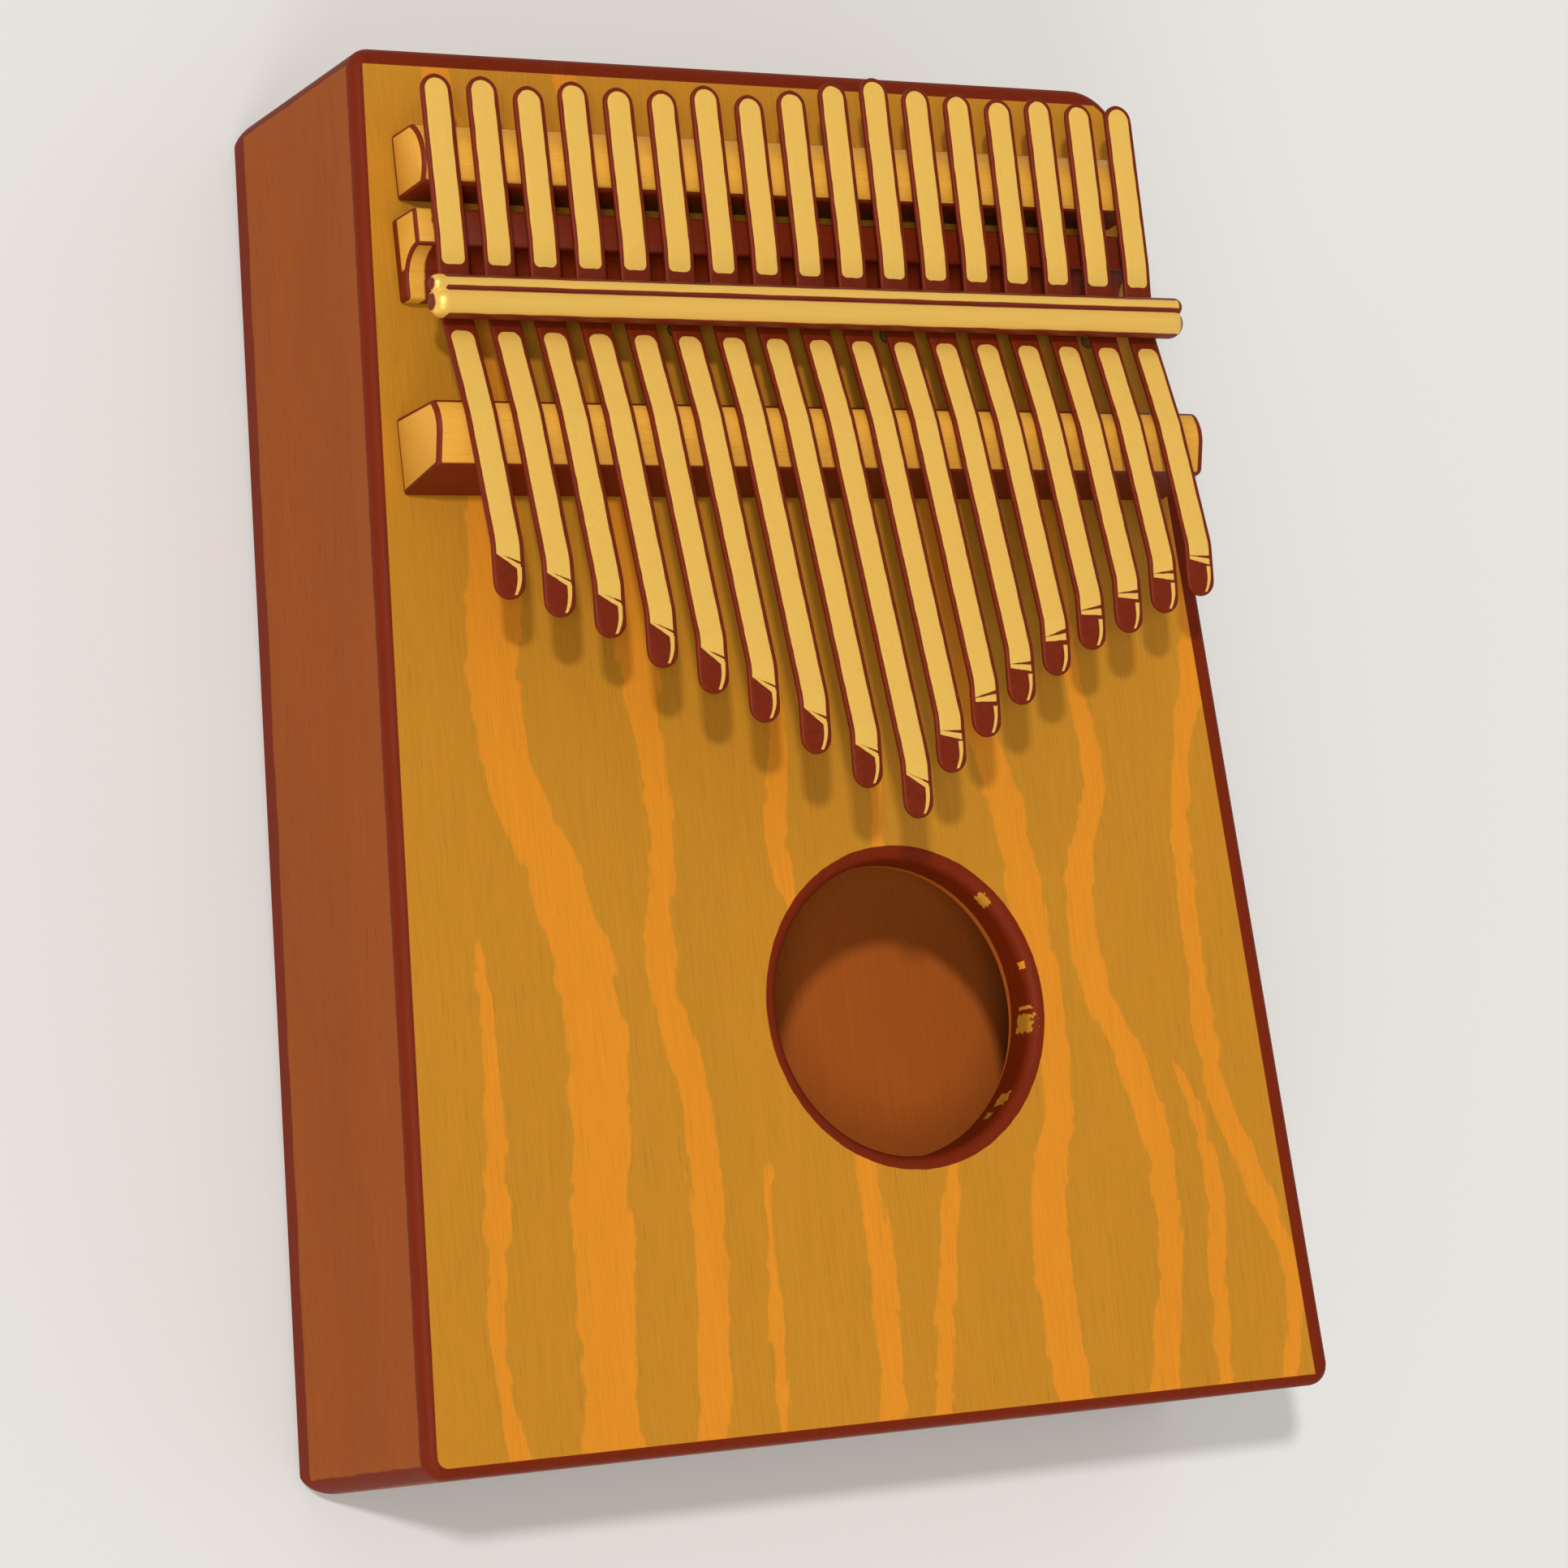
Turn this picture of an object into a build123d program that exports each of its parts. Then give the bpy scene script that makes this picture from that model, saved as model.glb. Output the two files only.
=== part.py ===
"""Box mbira: a hollow wooden box that carries seventeen sprung steel tines.

Axes: X is the width, Y the length with +Y towards the tails of the tines, Z points up out of the
soundboard. The origin is the centre of the back face, which is what the box lies on.

The box is a trapezoid in plan: a back board, two sides, a head block, a foot block and a soundboard
with a round sound hole. Three wooden rails stand on the soundboard. Each tine rests on the rear
bridge, is pulled down by the pressure bar just in front of the middle block, and rises over the front
bridge into a free blade with a rounded tip. The blade is a node of its own that turns about the crest
of the front bridge. Threaded studs hold the bar down and pass between the tines to nuts inside the box.
"""
import math
import os

from build123d import *

# ---------------------------------------------------------------- box
LENGTH = 190.0
HEAD_WIDTH = 124.0
FOOT_WIDTH = 144.0
DEPTH = 40.0
BACK_THICKNESS = 4.0
BOARD_THICKNESS = 6.0
SIDE_THICKNESS = 7.0
END_THICKNESS = 10.0
HEAD_LEFT_CORNER = 3.0
HEAD_RIGHT_CORNER = 8.0
FOOT_CORNER = 3.0
BACK_END_RADIUS = 7.0
BACK_SIDE_CHAMFER = 1.5
FRONT_EDGE_RADIUS = 1.6

# ---------------------------------------------------------------- sound hole
HOLE_X = 7.9
HOLE_Y = -37.9
HOLE_RADIUS = 20.4

# ---------------------------------------------------------------- tines
TINE_COUNT = 17
TINE_PITCH = 6.87
TINE_WIDTH = 4.6
TINE_THICKNESS = 0.9
BLADE_RISE = 0.18          # height gained for each unit of length in front of the front bridge
TIP_LENGTH = 7.4           # the turned-down end of the blade
TIP_TURN = 15.0            # degrees
LONGEST_TIP_Y = -15.0      # tip of the middle tine
TIP_STEP = 5.5             # how far each neighbour's tip falls back, next to the middle tine
TIP_STEP_LOSS = 0.2        # how much that step shrinks towards the outside
LEFT_TINE_EXTRA = 0.9      # tines left of the middle are a little longer, right ones shorter
TAIL_LINE_Y = 87.0
TAIL_OVERHANGS = (1.5, 1.5, 0.5, 1.5, 1.0, 1.0, 2.0, 1.0, 2.0, 3.5, 4.5, 3.5, 3.0, 2.5, 3.0, 2.5, 2.5)
JOINT_GAP = 0.1            # between a clamped tail and its free blade

# ---------------------------------------------------------------- rails, heights above the soundboard
REAR_FRONT_Y = 73.6
REAR_BACK_Y = 82.6
REAR_CREST_Y = 77.5
REAR_CREST = 8.75
REAR_DOME_RADIUS = 6.0
REAR_LEAN = 0.3
REAR_HALF_LENGTH = 57.6

MIDDLE_FRONT_Y = 59.5
MIDDLE_LIP_Y = 61.6          # where the low front lip ends and the hollow cove starts
MIDDLE_BACK_Y = 70.9
MIDDLE_HEIGHT = 6.8
MIDDLE_COVE_RADIUS = 4.2
MIDDLE_EDGE_RADIUS = 0.6
MIDDLE_HALF_LENGTH = 58.8

FRONT_FRONT_Y = 33.3
FRONT_NOSE_Y = 35.0
FRONT_NOSE_HEIGHT = 10.7
FRONT_NOSE_RADIUS = 1.0
FRONT_RIDGE_Y = 40.38        # the ridge that the tines bend over
FRONT_RIDGE_HEIGHT = 12.08
FRONT_RIDGE_RADIUS = 4.96
FRONT_BACK_Y = 43.8
FRONT_HALF_LENGTH = 61.2

# ---------------------------------------------------------------- pressure bar and its fasteners
BAR_HALF_LENGTH = 60.2
BAR_LOBE_Y = 56.8
BAR_LOBE_RADIUS = 2.15
BAR_LOBE_HEIGHT = 11.1
BAR_BEAD_Y = 59.1
BAR_BEAD_RADIUS = 1.3
BAR_BEAD_HEIGHT = 11.65
BAR_WEB_THICKNESS = 1.6
STUD_Y = 57.0
STUD_PLACES = (-7.5, -2.5, 2.5, 7.5)   # in tine pitches, so each stud is midway between two tines
STUD_RADIUS = 0.95
STUD_CLEARANCE = 0.1
STUD_IN_BAR = 2.6
BRACE_HALF_LENGTH = 54.0
BRACE_Y = (50.0, 65.0)
BRACE_THICKNESS = 6.0
WASHER_RADIUS = 2.5
WASHER_THICKNESS = 0.5
NUT_ACROSS_FLATS = 4.0
NUT_THICKNESS = 1.6
STUD_TAIL = 1.0

# ---------------------------------------------------------------- derived places
BOARD_BOTTOM = DEPTH - BOARD_THICKNESS
TAPER = (FOOT_WIDTH - HEAD_WIDTH) / 2 / LENGTH
MEAN_HALF_WIDTH = (FOOT_WIDTH + HEAD_WIDTH) / 4
WALL_RUN = SIDE_THICKNESS * math.hypot(1, TAPER)   # wall thickness measured along X
INNER_HEAD_Y = LENGTH / 2 - END_THICKNESS
REACH = LENGTH                                     # larger than the box in every direction

BAR_UNDERSIDE = BAR_LOBE_HEIGHT - BAR_LOBE_RADIUS

# The underside of a tine, seen from the side: flat on the rear bridge, down under the bar, up over
# the front bridge. Its rounded low bend lies a little above and behind the corner of the path.
LOW_SHIFT = 0.83
LOW_DIP = 0.126
PATH_FLAT = (66.0, REAR_CREST + 0.02)
PATH_LOW = (BAR_LOBE_Y - LOW_SHIFT, BAR_UNDERSIDE - TINE_THICKNESS - LOW_DIP)
PATH_CREST = (41.5, 12.0)
BEND_RADII = {"flat": 14.0, "low": 10.0, "crest": 5.0, "tip": 5.0}
HINGE_Y = 41.1
HINGE_HEIGHT = PATH_CREST[1] + (PATH_CREST[0] - HINGE_Y) * BLADE_RISE + TINE_THICKNESS / 2


def half_width(y):
    """Outer half width of the box at a station along its length."""
    return MEAN_HALF_WIDTH - TAPER * y


def slab(bottom, top):
    """Everything between two heights."""
    return Pos(0, 0, (bottom + top) / 2) * Box(2 * REACH, 2 * REACH, top - bottom)


def prism(points, bottom, top):
    """Upright prism on a plan polygon."""
    face = make_face(Polyline(*points, close=True))
    return extrude(Pos(0, 0, bottom) * face, amount=top - bottom)


def rail(face, x_low, x_high):
    """Rail along X whose section is drawn in (Y, height above the soundboard)."""
    placed = Plane.YZ.offset(x_low) * (Pos(0, DEPTH) * face)
    return extrude(placed, amount=x_high - x_low)


def dome(y_from, y_to, y_crest, crest, radius):
    """Arc over a crest, as part of a section."""
    def point(y):
        return (y, crest - radius + math.sqrt(radius**2 - (y - y_crest) ** 2))

    return ThreePointArc(point(y_from), (y_crest, crest), point(y_to))


def nearest_vertex(shape, point):
    """The vertex of a flat shape that is closest to a point."""
    target = Vector(*point)
    return min(shape.vertices(), key=lambda vertex: (vertex.center() - target).length)


# ---------------------------------------------------------------- the wooden box
def outer_box():
    """The whole outside of the box as one solid, from which the boards are cut."""
    corners = [
        ((-half_width(-LENGTH / 2), -LENGTH / 2), FOOT_CORNER),
        ((half_width(-LENGTH / 2), -LENGTH / 2), FOOT_CORNER),
        ((half_width(LENGTH / 2), LENGTH / 2), HEAD_RIGHT_CORNER),
        ((-half_width(LENGTH / 2), LENGTH / 2), HEAD_LEFT_CORNER),
    ]
    plan = make_face(Polyline(*[point for point, _ in corners], close=True))
    for point, radius in corners:
        plan = fillet(nearest_vertex(plan, point), radius)
    body = extrude(plan, amount=DEPTH)

    side_view = Pos(0, DEPTH / 2) * Rectangle(LENGTH, DEPTH)
    for y in (-LENGTH / 2, LENGTH / 2):
        side_view = fillet(nearest_vertex(side_view, (y, 0)), BACK_END_RADIUS)
    body &= extrude(Plane.YZ.offset(-REACH) * side_view, amount=2 * REACH)

    for side in (-1, 1):
        body -= back_side_bevel(side)
    top_edges = body.faces().sort_by(Axis.Z)[-1].edges()
    return fillet(top_edges, FRONT_EDGE_RADIUS)


def back_side_bevel(side):
    """The wedge taken off one long back edge."""
    section = make_face(Polyline((-REACH, -REACH), (BACK_SIDE_CHAMFER, -REACH), (BACK_SIDE_CHAMFER, 0),
                                 (0, BACK_SIDE_CHAMFER), (-REACH, BACK_SIDE_CHAMFER), close=True))
    wedge = extrude(Plane.XZ.offset(-REACH) * section, amount=2 * REACH)
    turned = Rot(0, 0, -math.degrees(math.atan(TAPER))) * wedge
    placed = Pos(-half_width(0), 0, 0) * turned
    return placed if side < 0 else mirror(placed, Plane.YZ)


def side_region(side):
    """Plan region of one side wall, from its inner face outwards."""
    def inner(y):
        return side * (half_width(y) - WALL_RUN)

    return prism([(inner(-REACH), -REACH), (side * REACH, -REACH), (side * REACH, REACH),
                  (inner(REACH), REACH)], BACK_THICKNESS, BOARD_BOTTOM)


def end_region(end):
    """Plan region of the head block (end = 1) or the foot block (end = -1), between the sides."""
    near, far = end * INNER_HEAD_Y, end * LENGTH / 2
    return prism([(-half_width(near) + WALL_RUN, near), (half_width(near) - WALL_RUN, near),
                  (half_width(far) - WALL_RUN, far), (-half_width(far) + WALL_RUN, far)],
                 BACK_THICKNESS, BOARD_BOTTOM)


def stud_posts(radius, bottom, top):
    """One upright cylinder at each stud, as a list."""
    return [Pos(place * TINE_PITCH, STUD_Y, (bottom + top) / 2) * Cylinder(radius, top - bottom)
            for place in STUD_PLACES]


def soundboard(box):
    board = box & slab(BOARD_BOTTOM, REACH)
    board -= Pos(HOLE_X, HOLE_Y, DEPTH) * Cylinder(HOLE_RADIUS, 4 * BOARD_THICKNESS)
    rim = board.edges().filter_by(GeomType.CIRCLE).filter_by(lambda edge: edge.radius == HOLE_RADIUS)
    board = fillet(rim.sort_by(Axis.Z)[-1], FRONT_EDGE_RADIUS)
    for post in stud_posts(STUD_RADIUS + STUD_CLEARANCE, 0, 2 * DEPTH):
        board -= post
    return board


def bridge_brace():
    """Hardwood bar glued under the soundboard, where the studs pull."""
    brace = Pos(0, sum(BRACE_Y) / 2, BOARD_BOTTOM - BRACE_THICKNESS / 2) * Box(
        2 * BRACE_HALF_LENGTH, BRACE_Y[1] - BRACE_Y[0], BRACE_THICKNESS)
    brace = chamfer(brace.faces().sort_by(Axis.Z)[0].edges(), 1.0)
    for post in stud_posts(STUD_RADIUS + STUD_CLEARANCE, 0, DEPTH):
        brace -= post
    return brace


# ---------------------------------------------------------------- rails on the soundboard
def rear_bridge():
    """Half-round rail that the tails rest on."""
    arc = dome(REAR_FRONT_Y + REAR_LEAN, REAR_BACK_Y, REAR_CREST_Y, REAR_CREST, REAR_DOME_RADIUS)
    outline = arc + Polyline(arc @ 1, (REAR_BACK_Y, 0), (REAR_FRONT_Y, 0), arc @ 0)
    return rail(make_face(outline), -REAR_HALF_LENGTH, REAR_HALF_LENGTH)


def middle_block():
    """Low block under the tines: a square shoulder, a hollow cove in front of it and a low lip."""
    lip_height = MIDDLE_HEIGHT - MIDDLE_COVE_RADIUS
    shoulder_y = MIDDLE_LIP_Y + MIDDLE_COVE_RADIUS
    reach = MIDDLE_COVE_RADIUS * math.sqrt(0.5)
    cove = ThreePointArc((MIDDLE_LIP_Y, lip_height), (MIDDLE_LIP_Y + reach, MIDDLE_HEIGHT - reach),
                         (shoulder_y, MIDDLE_HEIGHT))
    face = make_face(cove + Polyline((shoulder_y, MIDDLE_HEIGHT), (MIDDLE_BACK_Y, MIDDLE_HEIGHT),
                                     (MIDDLE_BACK_Y, 0), (MIDDLE_FRONT_Y, 0), (MIDDLE_FRONT_Y, lip_height),
                                     (MIDDLE_LIP_Y, lip_height)))
    for corner in ((MIDDLE_BACK_Y, MIDDLE_HEIGHT), (MIDDLE_FRONT_Y, lip_height)):
        face = fillet(nearest_vertex(face, corner), MIDDLE_EDGE_RADIUS)
    return rail(face, -MIDDLE_HALF_LENGTH, MIDDLE_HALF_LENGTH)


def front_bridge():
    """Tall rail whose top climbs from the nose to the rounded ridge that the tines bend over."""
    centre_height = FRONT_RIDGE_HEIGHT - FRONT_RIDGE_RADIUS
    run = FRONT_RIDGE_Y - FRONT_NOSE_Y
    rise = centre_height - FRONT_NOSE_HEIGHT
    slope = math.atan2(rise, run) + math.asin(FRONT_RIDGE_RADIUS / math.hypot(run, rise))
    touch_y = FRONT_RIDGE_Y - FRONT_RIDGE_RADIUS * math.sin(slope)
    arc = dome(touch_y, FRONT_BACK_Y, FRONT_RIDGE_Y, FRONT_RIDGE_HEIGHT, FRONT_RIDGE_RADIUS)
    nose = (FRONT_NOSE_Y, FRONT_NOSE_HEIGHT)
    face = make_face(arc + Polyline(arc @ 1, (FRONT_BACK_Y, 0), (FRONT_FRONT_Y, 0), nose, arc @ 0))
    face = fillet(nearest_vertex(face, nose), FRONT_NOSE_RADIUS)
    return rail(face, -FRONT_HALF_LENGTH, FRONT_HALF_LENGTH)


# ---------------------------------------------------------------- pressure bar and fasteners
def round_bar(y, height, radius):
    """Round bar across the tines, with a domed end on each side."""
    length = 2 * (BAR_HALF_LENGTH - radius)
    bar = Rot(0, 90, 0) * Cylinder(radius, length)
    for side in (-1, 1):
        bar += Pos(side * length / 2, 0, 0) * Sphere(radius)
    return Pos(0, y, DEPTH + height) * bar


def pressure_bar():
    """Brass bar with a thick front lobe and a thin rear bead, pulled down on the tines."""
    bar = round_bar(BAR_LOBE_Y, BAR_LOBE_HEIGHT, BAR_LOBE_RADIUS)
    bar += round_bar(BAR_BEAD_Y, BAR_BEAD_HEIGHT, BAR_BEAD_RADIUS)
    web = Box(2 * (BAR_HALF_LENGTH - BAR_LOBE_RADIUS), BAR_BEAD_Y - BAR_LOBE_Y, BAR_WEB_THICKNESS)
    bar += Pos(0, (BAR_LOBE_Y + BAR_BEAD_Y) / 2, DEPTH + BAR_BEAD_HEIGHT - BAR_WEB_THICKNESS / 2) * web
    for post in stud_posts(STUD_RADIUS, DEPTH, DEPTH + BAR_UNDERSIDE + STUD_IN_BAR):
        bar -= post
    return bar


def studs():
    washer_bottom = BOARD_BOTTOM - BRACE_THICKNESS - WASHER_THICKNESS
    bottom = washer_bottom - NUT_THICKNESS - STUD_TAIL
    return stud_posts(STUD_RADIUS, bottom, DEPTH + BAR_UNDERSIDE + STUD_IN_BAR)


def washers():
    top = BOARD_BOTTOM - BRACE_THICKNESS
    rings = stud_posts(WASHER_RADIUS, top - WASHER_THICKNESS, top)
    holes = stud_posts(STUD_RADIUS + STUD_CLEARANCE, top - 1, top + 1)
    return [ring - hole for ring, hole in zip(rings, holes)]


def nuts():
    top = BOARD_BOTTOM - BRACE_THICKNESS - WASHER_THICKNESS
    flats = RegularPolygon(NUT_ACROSS_FLATS / 2, 6, major_radius=False)
    ring = extrude(flats - Circle(STUD_RADIUS), amount=NUT_THICKNESS)
    return [Pos(place * TINE_PITCH, STUD_Y, top - NUT_THICKNESS) * ring for place in STUD_PLACES]


# ---------------------------------------------------------------- tines
def tine_x(number):
    return (number - (TINE_COUNT + 1) / 2) * TINE_PITCH


def tip_y(number):
    """Where a tine's tip ends: a V with its point at the middle tine."""
    offset = number - (TINE_COUNT + 1) / 2
    steps = abs(offset)
    y = LONGEST_TIP_Y + TIP_STEP * steps - TIP_STEP_LOSS * steps**2
    if 0 < steps < 6:
        y += math.copysign(LEFT_TINE_EXTRA, offset)
    return y


def tail_y(number):
    return TAIL_LINE_Y + TAIL_OVERHANGS[number - 1]


def strip(points, radii):
    """Spring strip whose underside follows the points, as a section in (Y, height)."""
    path = FilletPolyline(*points, radius=radii)
    ribbon = offset(path, amount=TINE_THICKNESS, side=Side.LEFT)
    return make_face(ribbon.edges())


def tine_strip(number):
    """The whole side view of a tine, tip to tail."""
    end = tip_y(number)
    bend_y = end + TIP_LENGTH
    bend = (bend_y, PATH_CREST[1] + (PATH_CREST[0] - bend_y) * BLADE_RISE)
    fall = math.tan(math.atan(BLADE_RISE) - math.radians(TIP_TURN))
    tip = (end, bend[1] + TIP_LENGTH * fall)
    tail = (tail_y(number), PATH_FLAT[1])
    radii = [BEND_RADII[name] for name in ("tip", "crest", "low", "flat")]
    section = strip([tip, bend, PATH_CREST, PATH_LOW, PATH_FLAT, tail], radii)
    x = tine_x(number)
    return rail(section, x - TINE_WIDTH / 2, x + TINE_WIDTH / 2)


def tine(number):
    """The clamped tail and the free blade of one tine, parted at the front bridge."""
    start, end = tip_y(number), tail_y(number)
    outline = Pos(tine_x(number), (start + end) / 2) * Rot(0, 0, 90) * SlotOverall(end - start, TINE_WIDTH)
    whole = tine_strip(number) & extrude(outline, amount=2 * DEPTH)
    behind = Pos(0, HINGE_Y + JOINT_GAP / 2 + REACH, 0) * Box(2 * REACH, 2 * REACH, 4 * REACH)
    ahead = Pos(0, HINGE_Y - JOINT_GAP / 2 - REACH, 0) * Box(2 * REACH, 2 * REACH, 4 * REACH)
    return whole & behind, whole & ahead


# ---------------------------------------------------------------- export
def save(name, shape):
    solids = shape if isinstance(shape, list) else [shape]
    loose = [solid for piece in solids for solid in piece.solids()]
    export_step(loose[0] if len(loose) == 1 else Compound(loose), f"parts/{name}.step")


def main():
    os.makedirs("parts", exist_ok=True)
    box = outer_box()
    save("back_board", box & slab(0, BACK_THICKNESS))
    save("left_side", box & side_region(-1))
    save("right_side", box & side_region(1))
    save("head_block", box & end_region(1))
    save("foot_block", box & end_region(-1))
    save("soundboard", soundboard(box))
    save("bridge_brace", bridge_brace())
    save("rear_bridge", rear_bridge())
    save("middle_block", middle_block())
    save("front_bridge", front_bridge())
    save("pressure_bar", pressure_bar())
    save("pressure_bar_studs", studs())
    save("stud_washers", washers())
    save("stud_nuts", nuts())
    for number in range(1, TINE_COUNT + 1):
        tail, blade = tine(number)
        save(f"tine_{number:02d}_tail", tail)
        save(f"tine_{number:02d}_blade", blade)
    print(f"hinge line at y {HINGE_Y:.3f}, z {DEPTH + HINGE_HEIGHT:.3f}")


main()
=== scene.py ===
"""Looks for the box mbira: stained box, grained soundboard, honey-wood rails and polished tines."""
import math

import bmesh
import bpy
from mathutils import Matrix, Vector, noise


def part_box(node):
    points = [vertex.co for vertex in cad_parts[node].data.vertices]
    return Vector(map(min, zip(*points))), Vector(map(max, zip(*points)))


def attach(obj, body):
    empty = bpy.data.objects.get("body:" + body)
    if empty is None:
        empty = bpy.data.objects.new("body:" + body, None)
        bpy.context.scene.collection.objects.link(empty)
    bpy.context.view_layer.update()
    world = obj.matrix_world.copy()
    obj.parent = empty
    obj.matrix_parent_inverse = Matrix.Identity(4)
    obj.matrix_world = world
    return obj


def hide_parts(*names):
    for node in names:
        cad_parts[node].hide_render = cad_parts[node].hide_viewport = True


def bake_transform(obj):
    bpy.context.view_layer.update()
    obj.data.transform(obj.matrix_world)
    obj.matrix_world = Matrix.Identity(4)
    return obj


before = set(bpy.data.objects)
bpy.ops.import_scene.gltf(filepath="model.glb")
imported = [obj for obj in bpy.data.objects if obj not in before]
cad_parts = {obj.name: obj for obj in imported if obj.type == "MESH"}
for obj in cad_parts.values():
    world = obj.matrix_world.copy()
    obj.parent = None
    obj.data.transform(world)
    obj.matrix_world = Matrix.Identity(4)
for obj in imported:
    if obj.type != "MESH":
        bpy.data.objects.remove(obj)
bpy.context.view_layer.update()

MM = 0.001

# ---------------------------------------------------------------- colours, as 8-bit sRGB
GOLD_WOOD = (193, 130, 34)
ORANGE_GRAIN = (221, 138, 34)
BROWN_WOOD = (152, 74, 14)
DARK_STAIN = (116, 34, 4)
HONEY_WOOD = (230, 164, 58)
PALE_GOLD = (254, 203, 96)
BARE_AND_LIT_WOOD = (188, 96, 34)
ZINC = (168, 170, 172)
FLOOR_PAINT = (226, 224, 219)

# ---------------------------------------------------------------- places read from the frame, in mm
BOARD_LOW, BOARD_HIGH = (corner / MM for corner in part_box("soundboard"))
BOARD_TOP = BOARD_HIGH.z
BOX_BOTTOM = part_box("back_board")[0].z / MM
BAR_LOW, BAR_HIGH = (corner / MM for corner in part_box("pressure_bar"))
MIDDLE_LOW, MIDDLE_HIGH = (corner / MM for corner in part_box("middle_block"))
BOX_MEAN_HALF_WIDTH = 67.0               # halfway between the head and the foot
BOX_TAPER = 10 / 190                     # what each side gains per mm towards the foot
TINE_COUNT = sum(name.endswith("_blade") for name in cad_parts)

# ---------------------------------------------------------------- sound hole
HOLE_X = 7.9
HOLE_Y = -37.9
HOLE_RADIUS = 20.4

# ---------------------------------------------------------------- stained borders and painted shade: how far each reaches
HOLE_BORDER = 2.0                        # on the soundboard, around the hole
EDGE_BORDER = 2.95                       # on the soundboard, along its right and head edges
BOARD_SIDE_BORDER = 2.05                 # down the soundboard's own sides
BACK_BORDER = 4.65                       # up the box's sides from the back
CORNER_BORDER = 2.15                     # on both sides of the box's upright corners
RAIL_END_BORDER = 1.0                    # along a rail, before its right end
RAIL_FOOT_BORDER = 0.75                  # up a rail's left end from the soundboard
OUTER_TINE_MARGIN = 2.6                  # the middle block's painted shade stops this near its two ends
MIDDLE_FOOT_BORDER = 1.7                 # painted shade up the middle block's left end from the soundboard
MIDDLE_FRONT_BORDER = 4.05               # painted shade back along that end from the block's front
BARE_WOOD_DEPTH = 4.5                    # inside the box the upward faces are bare wood from here down, below the board, lightened as painted light

# ---------------------------------------------------------------- tines, heights above the soundboard
TINE_WIDTH = 4.6
TINE_THICKNESS = 0.9
PATH_FLAT = (66.0, 8.77)                 # (y, height) of the underside where the tail's straight run ends
PATH_LOW = (55.97, 7.924)                # its lowest corner, under the pressure bar
PATH_CREST = (41.5, 12.0)                # its corner on the front bridge
BLADE_RISE = 0.18                        # slope from the crest to the tip's bend
TIP_LENGTH = 7.4
TIP_TURN = math.radians(15)              # how far the tip turns down from the blade
BEND_RADII = (14.0, 10.0, 5.0, 5.0)      # at the flat, the low bend, the crest and the tip
PATH_SPACING = 0.9                       # between the sections along a tine
CREASE_PAST_BEND = 1.2                   # how far the crease lies from the tip's bend, towards the tip
CREASE_DEPTH = 0.10
CREASE_HALF_WIDTH = 0.35
HAMMER_DEPTH = 0.035
RIGHT_HALF_SHIFT = 2                     # gives the tines on the right half a variation below 0
SIDES_OF_SECTION = 28                    # corners of one section
SECTION_POWERS = (0.42, 0.55)            # square off its sides and its faces
END_THINNING = 0.45                      # share of the thickness that is lost at a tine's domed end
END_STEPS = (0.0, 0.06, 0.18, 0.36, 0.6, 0.9, 1.25, 1.65)    # from an end, the sections that round it

# ---------------------------------------------------------------- polish on the tines, with painted shade and painted highlights
POLISH_HALF_WIDTH = 1.68                 # the polished band along the middle of each tine
POLISH_SHIFT = 0.10                      # how far the band lies left of the tine's middle
SHADE_STARTS_BEHIND_BAR_Y = 62.6               # the band stops here behind the bar, where the tine is painted in shade under it
SHADE_ENDS_BEFORE_BAR_Y = 53.2               # and starts again here in front of it, where that painted shade ends
CUT_PAST_CREASE = 1.4                    # the slanted end of the band, at the tine's middle; past it the turned-down tip is painted dark as painted shade
CUT_SLOPE = 0.53
STROKE_PAST_CREASE = 0.77                # a fine dark stroke across the band, before its end
STROKE_SLOPE = 0.42
STROKE_HALF_WIDTH = 0.07
GLINT_ENDS = (2.0, 5.6)                  # a painted highlight: a thin bright line on the turned-down tip, past the crease
GLINT_ACROSS = 1.45                      # how far right of the tine's middle it starts

# ---------------------------------------------------------------- painted highlights and painted shade on the pressure bar
LOBE_MIDDLE = 1.85                       # from the bar's front
LOBE_HALF_WIDTH = 1.45
BEAD_MIDDLE = 1.15                       # from the bar's rear
BEAD_HALF_WIDTH = 0.55
BAR_END_BORDER = 0.75                    # the tarnished strip at each end
BAR_SHADE_DEPTH = 1.75                  # painted shade covers the bar from here down, below its top
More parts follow.
